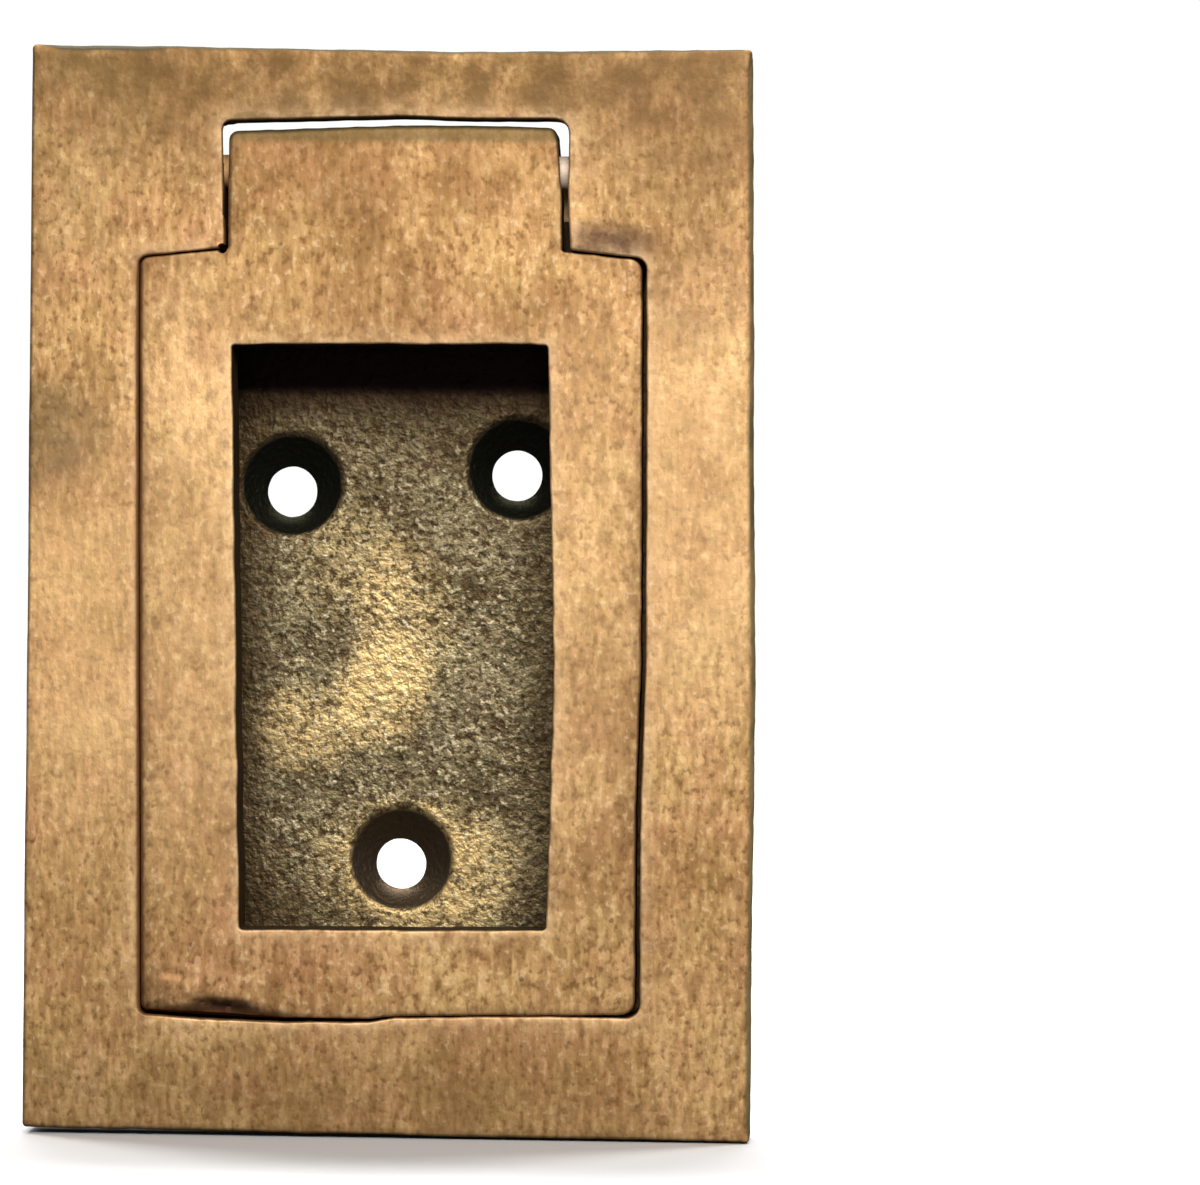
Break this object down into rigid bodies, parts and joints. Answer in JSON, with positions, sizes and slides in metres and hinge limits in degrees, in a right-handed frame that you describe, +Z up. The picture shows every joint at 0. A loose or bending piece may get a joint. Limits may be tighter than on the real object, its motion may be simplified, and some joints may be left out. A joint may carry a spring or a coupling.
{
  "type": "flush pull handle",
  "caption": "Rectangular flush pull for a door, hatch or chest: a cast plate with a stepped finger pan and a frame-shaped bail handle that swings out on a pin.",
  "frame": {"origin": "middle of the face plate's outline, on the seat plane behind its flange", "axes": "+X across the plate, +Y into the door or lid that it is let into, +Z up the plate towards the hinge; the face looks along -Y"},
  "size_m": [0.0636, 0.0155, 0.0952],
  "materials": {
    "plate": "sand-cast antique brass, linished face, dark patina in the pan",
    "bail_handle": "linished antique brass with light patina",
    "hinge_pin": "drawn brass rod, tarnished"
  },
  "bodies": {
    "plate": {"plate": "plate", "hinge_pin": "hinge_pin"},
    "bail_handle": {"bail_handle": "bail_handle"}
  },
  "joints": [
    {"name": "handle_swing", "type": "hinge", "parent": "plate", "child": "bail_handle", "pos_m": [0, -0.0025, 0.0369], "axis": [-1, 0, 0], "range_deg": [0, 120]}
  ]
}
